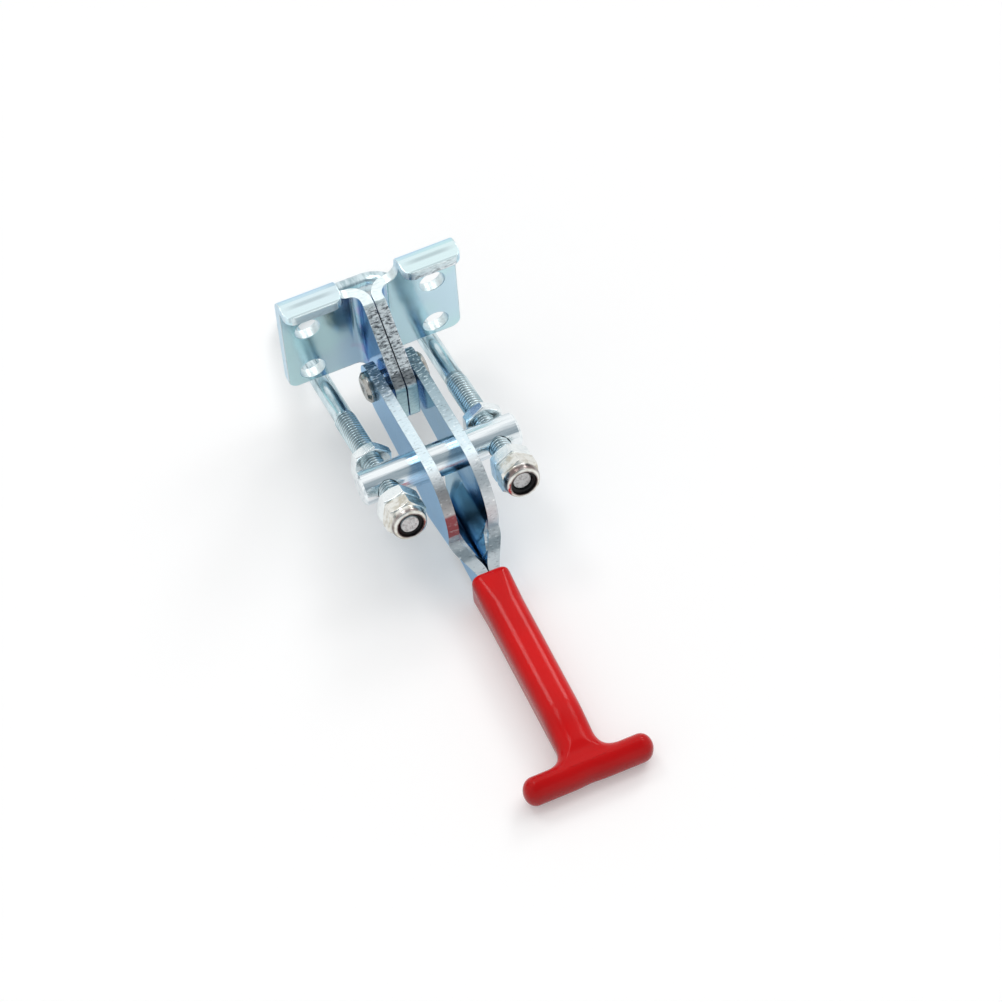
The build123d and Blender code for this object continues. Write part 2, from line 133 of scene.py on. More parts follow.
class Value:
    """A shader socket that can be used in Python expressions."""

    def __init__(self, sheet: "Sheet", socket: bpy.types.NodeSocket) -> None:
        """Wrap a socket.

        Args:
            sheet: The node sheet that the socket belongs to.
            socket: The output socket.
        """
        self.sheet = sheet
        self.socket = socket

    def __add__(self, other: "Value | float") -> "Value":
        """Sum."""
        return self.sheet.math("ADD", self, other)

    __radd__ = __add__

    def __sub__(self, other: "Value | float") -> "Value":
        """Difference."""
        return self.sheet.math("SUBTRACT", self, other)

    def __rsub__(self, other: "Value | float") -> "Value":
        """Difference from a number."""
        return self.sheet.math("SUBTRACT", other, self)

    def __mul__(self, other: "Value | float") -> "Value":
        """Product."""
        return self.sheet.math("MULTIPLY", self, other)

    __rmul__ = __mul__

    def __gt__(self, other: "Value | float") -> "Value":
        """One where this is larger."""
        return self.sheet.math("GREATER_THAN", self, other)

    def __lt__(self, other: "Value | float") -> "Value":
        """One where this is smaller."""
        return self.sheet.math("LESS_THAN", self, other)

    def __abs__(self) -> "Value":
        """Size without sign."""
        return self.sheet.math("ABSOLUTE", self)

    def __or__(self, other: "Value | float") -> "Value":
        """Larger of two masks."""
        return self.sheet.math("MAXIMUM", self, other)

    __ror__ = __or__

    def __and__(self, other: "Value | float") -> "Value":
        """Both of two masks."""
        return self.sheet.math("MULTIPLY", self, other)

    __rand__ = __and__

    def ramp(self, low: float, high: float) -> "Value":
        """A smooth step from 0 at low to 1 at high.

        Args:
            low: The value that gives 0.
            high: The value that gives 1; it may be the smaller.

        Returns:
            The stepped value.
        """
        made = self.sheet.node(
            "ShaderNodeMapRange",
            {"interpolation_type": "SMOOTHSTEP"},
            {"Value": self, "From Min": low, "From Max": high},
        )
        return Value(self.sheet, made.outputs["Result"])

    def band(self, low: float, high: float, edge: float) -> "Value":
        """One between two values, with soft edges.

        Args:
            low: Where the band begins.
            high: Where it ends.
            edge: How wide each soft edge is.

        Returns:
            The mask.
        """
        begun = self.ramp(low - edge / 2, low + edge / 2)
        unended = self.ramp(high + edge / 2, high - edge / 2)
        return begun & unended


class Sheet:
    """The nodes of one material or of the surroundings, made by one method."""

    def __init__(self, tree: bpy.types.NodeTree, output: str) -> None:
        """Empty a node tree and give it its output.

        Args:
            tree: The node tree.
            output: The type of its output node.
        """
        self.tree = tree
        self.tree.nodes.clear()
        self.output = self.node(output)

    def node(
        self,
        kind: str,
        settings: dict[str, object] | None = None,
        inputs: dict[str | int, object] | None = None,
    ) -> bpy.types.Node:
        """Make a node, set its options, then fill its sockets.

        Args:
            kind: The node's type.
            settings: Its own options, set first.
            inputs: Socket name or number, and the value or Value to put there.

        Returns:
            The new node.
        """
        made = self.tree.nodes.new(kind)
        for name, value in (settings or {}).items():
            setattr(made, name, value)
        for key, value in (inputs or {}).items():
            if isinstance(value, Value):
                self.tree.links.new(value.socket, made.inputs[key])
            else:
                made.inputs[key].default_value = value
        return made

    def read(self, kind: str, output: str) -> Value:
        """One output of a node that has no settings."""
        return Value(self, self.node(kind).outputs[output])

    def math(self, operation: str, *values: "Value | float") -> Value:
        """A Math node on one or two values."""
        made = self.node("ShaderNodeMath", {"operation": operation}, dict(enumerate(values)))
        return Value(self, made.outputs[0])

    def vector_math(self, operation: str, *values: object) -> Value:
        """A Vector Math node that gives a vector."""
        made = self.node("ShaderNodeVectorMath", {"operation": operation}, dict(enumerate(values)))
        return Value(self, made.outputs["Vector"])

    def vector_size(self, operation: str, *values: object) -> Value:
        """A Vector Math node that gives a number."""
        made = self.node("ShaderNodeVectorMath", {"operation": operation}, dict(enumerate(values)))
        return Value(self, made.outputs["Value"])

    def split(self, vector: Value) -> tuple[Value, Value, Value]:
        """The three components of a vector."""
        made = self.node("ShaderNodeSeparateXYZ", {}, {0: vector})
        return tuple(Value(self, made.outputs[i]) for i in range(3))

    def place(self) -> Value:
        """The point on the surface, in millimetres, in the part's own frame."""
        metres = self.read("ShaderNodeTexCoord", "Object")
        return self.vector_math("MULTIPLY", metres, (1 / MM,) * 3)

    def facing(self) -> Value:
        """The surface's direction in the part's own frame."""
        return self.read("ShaderNodeTexCoord", "Normal")

    def round_leg(
        self, where: Value, centre: Vector | Triple, axis: Vector | Triple, half_pitch: float
    ) -> tuple[Value, Value]:
        """How far along the nearer leg a point lies, and how far from its middle line.

        Args:
            where: The point, in millimetres.
            centre: The middle of the trunnion.
            axis: The direction to measure along.
            half_pitch: Half the distance between the legs.

        Returns:
            The distance along the leg, and the radius.
        """
        from_middle = self.vector_math("SUBTRACT", where, tuple(centre))
        x = abs(self.split(from_middle)[0]) - half_pitch
        along = self.vector_size("DOT_PRODUCT", from_middle, tuple(axis))
        above = self.split(self.vector_math("CROSS_PRODUCT", from_middle, tuple(axis)))[0]
        return along, self.math("SQRT", x * x + above * above)

    def background_seen(self) -> Value:
        """Where a ray comes straight from the camera, or through gloss or glass.

        Returns:
            The mask.
        """
        path = self.node("ShaderNodeLightPath")
        camera, glossy, clear = (
            Value(self, path.outputs[name])
            for name in ("Is Camera Ray", "Is Glossy Ray", "Is Transmission Ray")
        )
        return camera | glossy | clear

    def noise(self, where: Value, size: float, detail: float = 2.0, rough: float = 0.5) -> Value:
        """Noise between 0 and 1.

        Args:
            where: The point, in millimetres.
            size: The size of its blotches, in millimetres.
            detail: How many finer layers it has.
            rough: How strong those are.

        Returns:
            The noise.
        """
        made = self.node(
            "ShaderNodeTexNoise",
            {},
            {"Vector": where, "Scale": 1 / size, "Detail": detail, "Roughness": rough},
        )
        return Value(self, made.outputs["Fac"])

    def stretched(self, where: Value, along: Triple) -> Value:
        """The point, scaled so that noise on it is drawn out by these factors."""
        return self.vector_math("MULTIPLY", where, tuple(1 / factor for factor in along))

    def mix(self, factor: "Value | float", first: object, second: object) -> Value:
        """A colour between two colours."""
        made = self.node("ShaderNodeMix", {"data_type": "RGBA"}, {0: factor, 6: first, 7: second})
        return Value(self, made.outputs[2])

    def cover(self, colour: object, *layers: tuple[Value, object]) -> Value:
        """A colour with others laid over it in turn.

        Args:
            colour: The lowest colour.
            *layers: A mask and a colour for each layer.

        Returns:
            The colour on top.
        """
        for mask, over in layers:
            colour = self.mix(mask, colour, over)
        return colour

    def bump(self, height: Value, depth: float, under: Value | None = None) -> Value:
        """A bumped direction.

        Args:
            height: The height, about 0 to 1.
            depth: What one unit of height stands for, in millimetres.
            under: A bump that this one is added to.

        Returns:
            The direction for a shader.
        """
        inputs = {"Height": height, "Distance": depth * MM, "Strength": 1.0}
        if under is not None:
            inputs["Normal"] = under
        return Value(self, self.node("ShaderNodeBump", {}, inputs).outputs["Normal"])

    def surface(self, **inputs: object) -> None:
        """End a material in one principled shader.

        Args:
            **inputs: Socket names, with underscores for spaces, and what goes there.
        """
        named = {name.replace("_", " "): value for name, value in inputs.items()}
        shader = self.node("ShaderNodeBsdfPrincipled", {}, named)
        self.tree.links.new(shader.outputs["BSDF"], self.output.inputs["Surface"])


def material_sheet(name: str) -> tuple[bpy.types.Material, Sheet]:
    """Make a material.

    Args:
        name: The material's name.

    Returns:
        The material, and the sheet of its nodes.
    """
    material = bpy.data.materials.new(name)
    material.use_nodes = True
    return material, Sheet(material.node_tree, "ShaderNodeOutputMaterial")


# ---------------------------------------------------------------- finishes


class EdgePlan(Enum):
    """Where a pressed plate shows its sheared edge."""

    HANDLE_PLATE = "handle plate"
    BASE_HALF = "base half"


@dataclass(frozen=True)
class BaseHalfMap:
    """Where the features of a base half lie, in millimetres."""

    web_side: float = 3.3
    web_front: float = -6.0
    flange_side: float = 24.2
    flange_foot: float = -13.2
    flange_shade: Span = (-12.0, 12.0)
    flange_face: Span = (-8.0, -5.0)
    bend_side: Span = (13.0, 5.0)
    teal_side: float = 5.0
    web_fade: Span = (9.0, 7.0)
    violet_side: Span = (10.0, 7.0)
    notch_side: float = 9.0
    notch_floor: Span = (12.0, 19.4)
    notch_front: float = -9.0
    step_side: Span = (8.0, 9.6)
    step_foot: float = 15.0
    bore_side: Span = (13.0, 22.0)
    bore_height: float = 12.5
    lip_foot: float = 19.0
    lip_front: float = -8.7
    lip_back: float = -3.5
    rough_lip_front: float = -8.5
    lip_top: Span = (20.5, 22.0)
    bright_height: Span = (13.4, 15.0)
    bright_side: Span = (9.0, 11.0)
    web_nose: float = -24.0
    web_corner: float = -22.5
    crease: Span = (-5.9, -4.7)
    crease_foot: float = 22.5
    crease_side: Span = (11.0, 22.0)
    rim: Span = (-8.6, -8.2)
    rim_foot: float = 21.0


@dataclass(frozen=True)
class HandlePlateMap:
    """Where the painted shade and light on a handle plate's sheared edge change, in millimetres
    along y.
    """

    grey: Span = (-54.0, -58.0)
    brown: Span = (-66.5, -60.5)
    dull: Span = (-73.4, -69.2)
    mouth: Span = (-71.5, -73.0)
    right_crest: Span = (-48.0, -38.0)
    heel: Span = (-32.0, -20.0)
    paint: Span = (-68.6, -55.0)
    paint_height: Span = (-8.1, -1.2)


@dataclass(frozen=True)
class ZincPlate:
    """Bright blue-white zinc plate on a pressed plate, with its sheared edges."""

    name: str
    edges: EdgePlan
    teal: Colour = rgb(0.61, 0.84, 0.86)
    lavender: Colour = rgb(0.61, 0.79, 0.87)
    # The film colours stand partly for the plating's blue tint and partly for painted shade and
    # reflection on the sides; the teal film is painted light.
    pale_film: Colour = rgb(0.42, 0.62, 0.80)
    mid_film: Colour = rgb(0.30, 0.48, 0.70)
    deep_film_shade: Colour = rgb(0.21, 0.32, 0.48)
    violet_film: Colour = rgb(0.32, 0.27, 0.54)
    inner_film_shade: Colour = rgb(0.46, 0.60, 0.68)
    lit_teal_film: Colour = rgb(0.62, 0.86, 0.90)
    lit_lip: Colour = rgb(0.80, 0.92, 0.94)
    notch: Colour = rgb(0.76, 0.86, 0.87)
    glance: Colour = rgb(0.62, 0.76, 0.90)
    sheared: Colour = rgb(0.72, 0.84, 0.89)
    grey_shear_and_shade: Colour = rgb(0.62, 0.66, 0.68)
    painted_shade: Colour = rgb(0.19, 0.26, 0.30)
    brown_shade: Colour = rgb(0.38, 0.37, 0.37)
    pit: Colour = rgb(0.07, 0.08, 0.09)
    spark: Colour = rgb(0.92, 0.96, 0.97)
    paint_red: Colour = rgb(0.30, 0.030, 0.035)
    roughness: float = 0.17
    film_and_shade_strength: float = 0.92
    shear_depth: float = 0.12
    painted: bool = False
    base: BaseHalfMap = BaseHalfMap()
    plate: HandlePlateMap = HandlePlateMap()

    def edge_mask(self, sheet: Sheet, where: Value) -> Value:
        """Where the sheared edges lie.

        Args:
            sheet: The material's sheet.
            where: The point, in millimetres.

        Returns:
            The mask.
        """
        x, y, z = sheet.split(where)
        side = abs(x)
        facing_x, facing_y, facing_z = (abs(part) for part in sheet.split(sheet.facing()))
        if self.edges is EdgePlan.HANDLE_PLATE:
            return facing_x.ramp(0.62, 0.40)
        base = self.base
        web = (side < base.web_side) & (y < base.web_front) & facing_x.ramp(0.7, 0.5)
        floor_low, floor_high = base.notch_floor
        floor = (side < base.notch_side) & (z < floor_high) & (z > floor_low)
        notch = floor & facing_z.ramp(0.3, 0.6) & (y > base.notch_front)
        lips = (y < base.lip_front) & (z > base.lip_foot)
        ends = (side > base.flange_side) | (z < base.flange_foot) | lips
        step_low, step_high = base.step_side
        step = (z > base.step_foot) & (side > step_low) & (side < step_high)
        steps = step & facing_x.ramp(0.5, 0.7)
        bore = side.band(*base.bore_side, edge=0.2) & (abs(z) < base.bore_height)
        bores = bore & facing_y.ramp(0.7, 0.5)
        return web | notch | ends | steps | bores

    def film_and_shade(self, sheet: Sheet, where: Value) -> tuple[Value, Value]:
        """The blue film of the plating on the sides, partly its own tint and partly painted shade
        and reflection: greyer on inner faces, deeper higher up, also laid near the bend, and
        lighter teal on the right flange face as painted light.

        Args:
            sheet: The material's sheet.
            where: The point, in millimetres.

        Returns:
            Where it lies, and its colour.
        """
        facing_x = sheet.split(sheet.facing())[0]
        x, y, z = sheet.split(where)
        cloud = sheet.noise(where, size=9.0, detail=2.0)
        sides = abs(facing_x).ramp(0.45, 0.85)
        if self.edges is EdgePlan.HANDLE_PLATE:
            # Painted shade and reflection: faces turned to the other plate go greyer.
            inner = (facing_x * x).ramp(0.0, -1.5)
            depth = inner * 0.75 + (cloud - 0.5)
            return sides, sheet.mix(depth.ramp(0.0, 1.0), self.pale_film, self.inner_film_shade)
        base = self.base
        # Painted shade: the film deepens higher up; painted light: the right flange face is
        # lighter teal.
        depth = z.ramp(*base.flange_shade) * 0.7 + (cloud - 0.5)
        patches = sheet.noise(where, size=5.0, detail=1.0).ramp(0.5, 0.62)
        violet = patches & abs(x).ramp(*base.violet_side)
        face = y.ramp(*base.flange_face)
        colour = sheet.cover(
            self.mid_film,
            (depth.ramp(0.0, 0.8), self.deep_film_shade),
            (violet * 0.7, self.violet_film),
            ((x > base.teal_side) & face, self.lit_teal_film),
        )
        # Painted shade: the film lies on the side faces and on the flange near the bend.
        web = sides & abs(x).ramp(*base.web_fade)
        bend = abs(x).ramp(*base.bend_side) & face
        return web | bend * 0.55, colour

    def torn(self, sheet: Sheet, where: Value) -> tuple[Value, Value]:
        """The colour and the height of the sheared edges, with painted light and shade by place
        along them.

        Args:
            sheet: The material's sheet.
            where: The point, in millimetres.

        Returns:
            The colour, and the height from 0 to 1.
        """
        x, y, z = sheet.split(where)
        facing_x, facing_y, _ = (abs(part) for part in sheet.split(sheet.facing()))
        drawn = sheet.stretched(where, (2.4, 1.0, 1.0))
        streaks = sheet.noise(drawn, size=0.52, detail=3.0, rough=0.65)
        if self.edges is EdgePlan.BASE_HALF:
            base = self.base
            rough_lip = (x > base.notch_side) & (z > base.lip_foot) & (y < base.rough_lip_front)
            # Painted light: the upper and outer sheared edges are paler.
            lit_edges = z.ramp(*base.bright_height) | abs(x).ramp(*base.bright_side)
            nose = facing_y.ramp(0.75, 0.95) & (y < base.web_nose)
            corner = facing_y.band(0.30, 0.85, 0.3) & (y < base.web_corner)
            colour = sheet.cover(
                self.pit,
                (streaks.ramp(0.36, 0.50), self.grey_shear_and_shade),
                # Painted light: more sparks on the right half.
                ((streaks + (x > 0.0) * 0.03).ramp(0.52, 0.60), self.spark),
                (lit_edges * (1.0 - rough_lip * 0.7) * 0.85, self.notch),
                (nose * 0.8, self.teal),
                (corner * 0.7, self.pit),
            )
            return colour, streaks
        plate = self.plate
        heel = y.ramp(*plate.heel)
        streaks = 0.5 + (streaks - 0.5) * (0.75 + heel * 0.6)
        # Painted shade and light by place along the edge: greyer, and browner on the left plate,
        # towards the grip; darker before the mouth, at the heel and towards the right plate's
        # crest; a painted highlight at the mouth; darker where the edge turns to the sides.
        colour = sheet.cover(
            self.sheared,
            (y.ramp(*plate.grey), self.grey_shear_and_shade),
            (y.band(*plate.brown, edge=4.0) & (x < 0.0), self.brown_shade),
            (y.band(*plate.dull, edge=1.5) * 0.6, self.painted_shade),
            (y.ramp(*plate.mouth) * 0.8, self.spark),
            ((x > 0.0) & (y.ramp(*plate.right_crest) * 0.5), self.painted_shade),
            (heel, self.painted_shade),
            (streaks.ramp(0.46, 0.34) * 0.5, self.pit),
            (streaks.ramp(0.57, 0.65), self.spark),
            (facing_x.band(0.30, 0.80, 0.15) * 0.5, self.pit),
        )
        return colour, streaks

    def lip_shade(self, sheet: Sheet, where: Value, colour: Value) -> Value:
        """A colour with painted light on the base halves' lip tops, and painted shade along their
        crease and rim.

        Args:
            sheet: The material's sheet.
            where: The point, in millimetres.
            colour: The colour so far.

        Returns:
            The colour.
        """
        x, y, z = sheet.split(where)
        base = self.base
        fade = abs(x).band(*base.crease_side, edge=6.0)
        crease = y.band(*base.crease, edge=0.9) & (z > base.crease_foot) & fade
        rim = y.band(*base.rim, edge=0.4) & (z > base.rim_foot)
        # Painted light on the lip tops; painted shade along the crease and the rim.
        return sheet.cover(
            colour,
            ((z.ramp(*base.lip_top) & (y < base.lip_back)) * 0.6, self.lit_lip),
            ((crease | rim) * 0.4, self.painted_shade),
        )

    def smear(self, sheet: Sheet, where: Value) -> Value:
        """Where paint is smeared along the top edge.

        Args:
            sheet: The material's sheet.
            where: The point, in millimetres.

        Returns:
            The mask.
        """
        _, y, z = sheet.split(where)
        drawn = sheet.stretched(where, (3.0, 1.0, 1.0))
        blot = sheet.noise(drawn, size=0.9, detail=3.0, rough=0.7)
        patch = z.band(*self.plate.paint_height, edge=0.8) & y.band(*self.plate.paint, edge=0.4)
        return patch & blot.ramp(0.28, 0.46)

    def make(self) -> bpy.types.Material:
        """Build the material.

        Returns:
            The material.
        """
        material, sheet = material_sheet(self.name)
        where = sheet.place()
        tint = sheet.noise(where, size=16.0, detail=1.0).ramp(0.38, 0.62)
        # The film stands partly for the plating's tint and partly for painted shade and
        # reflection.
        film_and_shade_lies, film_and_shade = self.film_and_shade(sheet, where)
        grain = sheet.noise(where, size=0.3, detail=3.0, rough=0.6)
        cloud = sheet.noise(where, size=7.0, detail=3.0)
        roughness = self.roughness + (grain - 0.5) * 0.08 + (cloud - 0.5) * 0.10
        waves = sheet.noise(where, size=7.0, detail=1.0)
        surface = sheet.bump(grain, 0.004, sheet.bump(waves, 0.08))
        mask = self.edge_mask(sheet, where)
        torn, streaks = self.torn(sheet, where)
        colour = sheet.cover(
            self.teal,
            (tint, self.lavender),
            (film_and_shade_lies * self.film_and_shade_strength, film_and_shade),
            (mask, torn),
        )
        roughness = roughness + mask * 0.18
        surface = sheet.bump(streaks * mask, self.shear_depth, surface)
        metal = 1.0
        if self.edges is EdgePlan.BASE_HALF:
            colour = self.lip_shade(sheet, where, colour)
        if self.painted:
            smear = self.smear(sheet, where) & mask
            colour = sheet.mix(smear * 0.9, colour, self.paint_red)
            roughness = roughness + smear * 0.1
            metal = 1.0 - smear * 0.8
        sheet.surface(
            Base_Color=colour,
            Metallic=metal,
            Roughness=roughness,
            Normal=surface,
            Specular_Tint=self.glance,
        )
        return material


@dataclass(frozen=True)
class TurnedZinc:
    """Bright zinc plate on turned and rolled pieces."""

    name: str
    pale: Colour = rgb(0.72, 0.82, 0.85)
    dark: Colour = rgb(0.34, 0.44, 0.49)
    drawn_along_x: float = 1.0
    streak_size: float = 2.2
    dark_share: float = 0.4
    roughness: float = 0.18

    def make(self) -> bpy.types.Material:
        """Build the material.

        Returns:
            The material.
        """
        material, sheet = material_sheet(self.name)
        where = sheet.place()
        drawn = sheet.stretched(where, (self.drawn_along_x, 1.0, 1.0))
        streak = sheet.noise(drawn, size=self.streak_size, detail=3.0, rough=0.6)
        fine = sheet.noise(drawn, size=0.28, detail=3.0, rough=0.6)
        sheet.surface(
            Base_Color=sheet.mix(streak.ramp(0.42, 0.70) * self.dark_share, self.pale, self.dark),
            Metallic=1.0,
            Roughness=self.roughness + (fine - 0.5) * 0.14,
            Normal=sheet.bump(fine, 0.008, sheet.bump(streak, 0.05)),
        )
        return material


@dataclass(frozen=True)
class ThreadZinc:
    """Zinc plate on the rolled thread, with painted shade down in its grooves."""

    name: str
    origin: Vector
    axis: Vector
    half_pitch: float
    groove: float
    crest: float
    thread_reach: float
    pale: Colour = rgb(0.66, 0.78, 0.82)
    grey: Colour = rgb(0.25, 0.38, 0.43)
    groove_shade: Colour = rgb(0.08, 0.11, 0.12)
    roughness: float = 0.2

    def make(self) -> bpy.types.Material:
        """Build the material.

        Returns:
            The material.
        """
        material, sheet = material_sheet(self.name)
        where = sheet.place()
        along, radius = sheet.round_leg(where, self.origin, self.axis, self.half_pitch)
        # Painted shade in the thread's grooves.
        sunk = radius.ramp(self.crest, self.groove) & (along < self.thread_reach)
        drawn = sheet.stretched(where, (1.0, 6.0, 2.0))
        streak = sheet.noise(drawn, size=1.6, detail=3.0, rough=0.6)
        fine = sheet.noise(where, size=0.3, detail=3.0, rough=0.6)
        sheet.surface(
            Base_Color=sheet.cover(
                self.pale,
                (streak.ramp(0.40, 0.68) * 0.7, self.grey),
                (sunk * 0.7, self.groove_shade),
            ),
            Metallic=1.0,
            Roughness=self.roughness + (fine - 0.5) * 0.14 + sunk * 0.2,
            Normal=sheet.bump(fine, 0.008, sheet.bump(streak, 0.05)),
        )
        return material


@dataclass(frozen=True)
class CutEnd:
    """The sheared, plated end of the rod."""

    name: str = "zinc_cut_end"
    pale: Colour = rgb(0.84, 0.88, 0.88)
    pit: Colour = rgb(0.52, 0.54, 0.54)
    roughness: float = 0.5

    def make(self) -> bpy.types.Material:
        """Build the material.

        Returns:
            The material.
        """
        material, sheet = material_sheet(self.name)
        where = sheet.place()
        torn = sheet.noise(where, size=0.7, detail=4.0, rough=0.7)
        sheet.surface(
            Base_Color=sheet.mix(torn.ramp(0.36, 0.58), self.pit, self.pale),
            Metallic=0.5,
            Roughness=self.roughness + (torn - 0.5) * 0.2,
            Normal=sheet.bump(torn, 0.25),
        )
        return material


@dataclass(frozen=True)
class Passivate:
    """Warm, yellowish passivated zinc on the lock nuts and the rivet."""

    name: str = "passivated_steel"
    pale: Colour = rgb(0.80, 0.80, 0.76)
    warm: Colour = rgb(0.58, 0.55, 0.47)
    rim_dark: Colour = rgb(0.13, 0.09, 0.09)
    half_pitch: float = HALF_PITCH
    trunnion: Triple = TRUNNION
    forward: Triple = (0.0, -0.9688, 0.2478)
    collar_outside: Span = (4.25, 4.65)
    collar_inside: Span = (3.95, 3.65)
    collar_ahead: Span = (18.0, 19.0)
    roughness: float = 0.2
    dents: float = 0.05

    def make(self) -> bpy.types.Material:
        """Build the material.

        Returns:
            The material.
        """
        material, sheet = material_sheet(self.name)
        where = sheet.place()
        blot = sheet.noise(where, size=2.2, detail=3.0, rough=0.6)
        grain = sheet.noise(where, size=0.3, detail=3.0, rough=0.6)
        ahead, radius = sheet.round_leg(where, self.trunnion, self.forward, self.half_pitch)
        # The collar's front rims, inside and out, are darker.
        rims = radius.ramp(*self.collar_outside) | radius.ramp(*self.collar_inside)
        rims = rims & ahead.ramp(*self.collar_ahead)
        sheet.surface(
            Base_Color=sheet.cover(
                self.pale,
                (blot.ramp(0.42, 0.66), self.warm),
                (rims * 0.6 + blot.ramp(0.30, 0.55) * rims * 0.3, self.rim_dark),
            ),
            Metallic=1.0,
            Roughness=self.roughness + (grain - 0.5) * 0.12,
            Normal=sheet.bump(grain, 0.008, sheet.bump(blot, self.dents)),
        )
        return material


@dataclass(frozen=True)
class Vinyl:
    """Glossy red vinyl, dipped, with painted shade on its steep sides and towards its cross bar.
    """

    name: str = "red_vinyl"
    red: Colour = rgb(0.66, 0.002, 0.003)
    deep: Colour = rgb(0.56, 0.002, 0.003)
    wall_shade: Colour = rgb(0.36, 0.003, 0.004)
    bar: Span = (-124.0, -136.0)
    roughness: float = 0.17
    gloss: float = 0.19

    def make(self) -> bpy.types.Material:
        """Build the material.

        Returns:
            The material.
        """
        material, sheet = material_sheet(self.name)
        where = sheet.place()
        pool = sheet.noise(where, size=16.0, detail=2.0)
        skin = sheet.noise(where, size=1.8, detail=2.0)
        # Painted shade: steep sides and the cross bar are darker.
        steep = sheet.split(sheet.facing())[2].ramp(0.75, 0.0)
        bar = sheet.split(where)[1].ramp(*self.bar)
        sheet.surface(
            Base_Color=sheet.cover(
                self.red,
                (pool.ramp(0.35, 0.7), self.deep),
                (steep * 0.8 | bar * 0.4, self.wall_shade),
            ),
            Roughness=self.roughness + (skin - 0.5) * 0.06,
            Normal=sheet.bump(skin, 0.010, sheet.bump(pool, 0.20)),
            Specular_IOR_Level=self.gloss,
        )
        return material


@dataclass(frozen=True)
class Nylon:
    """Dark nylon of the locking rings."""

    name: str = "black_nylon"
    dark: Colour = rgb(0.002, 0.0025, 0.004)
    worn: Colour = rgb(0.008, 0.009, 0.012)
    roughness: float = 0.28

    def make(self) -> bpy.types.Material:
        """Build the material.

        Returns:
            The material.
        """
        material, sheet = material_sheet(self.name)
        where = sheet.place()
        rub = sheet.noise(where, size=0.8, detail=3.0)
        sheet.surface(
            Base_Color=sheet.mix(rub.ramp(0.5, 0.75), self.dark, self.worn),
            Roughness=self.roughness + (rub - 0.5) * 0.2,
            Normal=sheet.bump(rub, 0.02),
            Specular_IOR_Level=0.2,
        )
        return material


# ---------------------------------------------------------------- steel pieces of the frame


def soften(node: bpy.types.Object, width: float) -> None:
    """Round the sharp edges of a frame node for light, without touching its vertices.

    Args:
        node: The frame node.
        width: How far the rounding reaches, in millimetres.
    """
    custom = node.data.attributes.get("custom_normal")
    if custom is not None:
        node.data.attributes.remove(custom)
    for polygon in node.data.polygons:
        polygon.use_smooth = True
    weld = node.modifiers.new("join", "WELD")
    weld.merge_threshold = SAME_POINT
    flat = node.modifiers.new("flats", "DECIMATE")
    flat.decimate_type = "DISSOLVE"
    flat.angle_limit = math.radians(FLAT_ANGLE)
    bevel = node.modifiers.new("edges", "BEVEL")
    bevel.width = width * MM
    bevel.segments = EDGE_STRIPS
    bevel.limit_method = "ANGLE"
    bevel.angle_limit = math.radians(SHARP_ANGLE)
    bevel.use_clamp_overlap = True
    node.modifiers.new("light", "WEIGHTED_NORMAL").keep_sharp = True


def dress(node: bpy.types.Object, *materials: bpy.types.Material) -> None:
    """Give a piece its materials; every face has the first unless it says otherwise.

    Args:
        node: The piece, or a frame node.
        *materials: Its materials, in the order that faces count them.
    """
    if node.data.materials:
        node.data.materials.clear()
    for material in materials:
        node.data.materials.append(material)


def new_object(name: str, mesh: bmesh.types.BMesh) -> bpy.types.Object:
    """Put a finished bmesh into the scene.

    Args:
        name: The object's name.
        mesh: The bmesh, which is freed.

    Returns:
        The new object.
    """
    data = bpy.data.meshes.new(name)
    mesh.to_mesh(data)
    mesh.free()
    made = bpy.data.objects.new(name, data)
    bpy.context.scene.collection.objects.link(made)
    return made


@dataclass
class PressedPlates:
    """The two base halves and the two handle plates."""

    nodes: dict[str, bpy.types.Object]
    edge_round: float = 0.32

    def build(self) -> list[bpy.types.Object]:
        """Dress the four plates.

        Returns:
            The plates.
        """
        base = ZincPlate("zinc_base", EdgePlan.BASE_HALF).make()
        right = ZincPlate("zinc_plate_right", EdgePlan.HANDLE_PLATE).make()
        left = ZincPlate("zinc_plate_left", EdgePlan.HANDLE_PLATE, painted=True).make()
        finishes = {
            "base_left_half": base,
            "base_right_half": base,
            "handle_plate_left": left,
            "handle_plate_right": right,
        }
        for name, material in finishes.items():
            soften(self.nodes[name], self.edge_round)
            dress(self.nodes[name], material)
        return [self.nodes[name] for name in finishes]


@dataclass
class TurnedPieces:
    """Rivet, trunnion, nuts and rings, and how far their edges are rounded."""

    nodes: dict[str, bpy.types.Object]
    rivet_edge: float = 0.2
    trunnion_edge: float = 0.15
    nut_edge: float = 0.12
    ring_edge: float = 0.1

    def build(self) -> list[bpy.types.Object]:
        """Dress the turned pieces.

        Returns:
            The pieces.
        """
        nut = TurnedZinc("zinc_nut", dark_share=0.15, pale=rgb(0.86, 0.91, 0.92)).make()
        stop = TurnedZinc("zinc_stop_nut", dark_share=0.2, pale=rgb(0.86, 0.90, 0.90)).make()
        drawn = TurnedZinc(
            "zinc_drawn",
            pale=rgb(0.88, 0.93, 0.95),
            drawn_along_x=16.0,
            streak_size=1.2,
            dark_share=0.6,
        ).make()
        warm = Passivate().make()
        rivet = Passivate(
            name="passivated_rivet",
            pale=rgb(0.42, 0.42, 0.40),
            warm=rgb(0.24, 0.22, 0.19),
            dents=0.12,
        ).make()
        nylon = Nylon().make()
        finishes = {
            "pivot_rivet": (rivet, self.rivet_edge),
            "trunnion": (drawn, self.trunnion_edge),
        }
        for side in ("left", "right"):
            finishes["jam_nut_" + side] = (nut, self.nut_edge)
            finishes["stop_nut_" + side] = (stop, self.nut_edge)
            finishes["lock_nut_" + side] = (warm, self.nut_edge)
            finishes["nylon_ring_" + side] = (nylon, self.ring_edge)
        for name, (material, width) in finishes.items():
            soften(self.nodes[name], width)
            dress(self.nodes[name], material)
        return [self.nodes[name] for name in finishes]


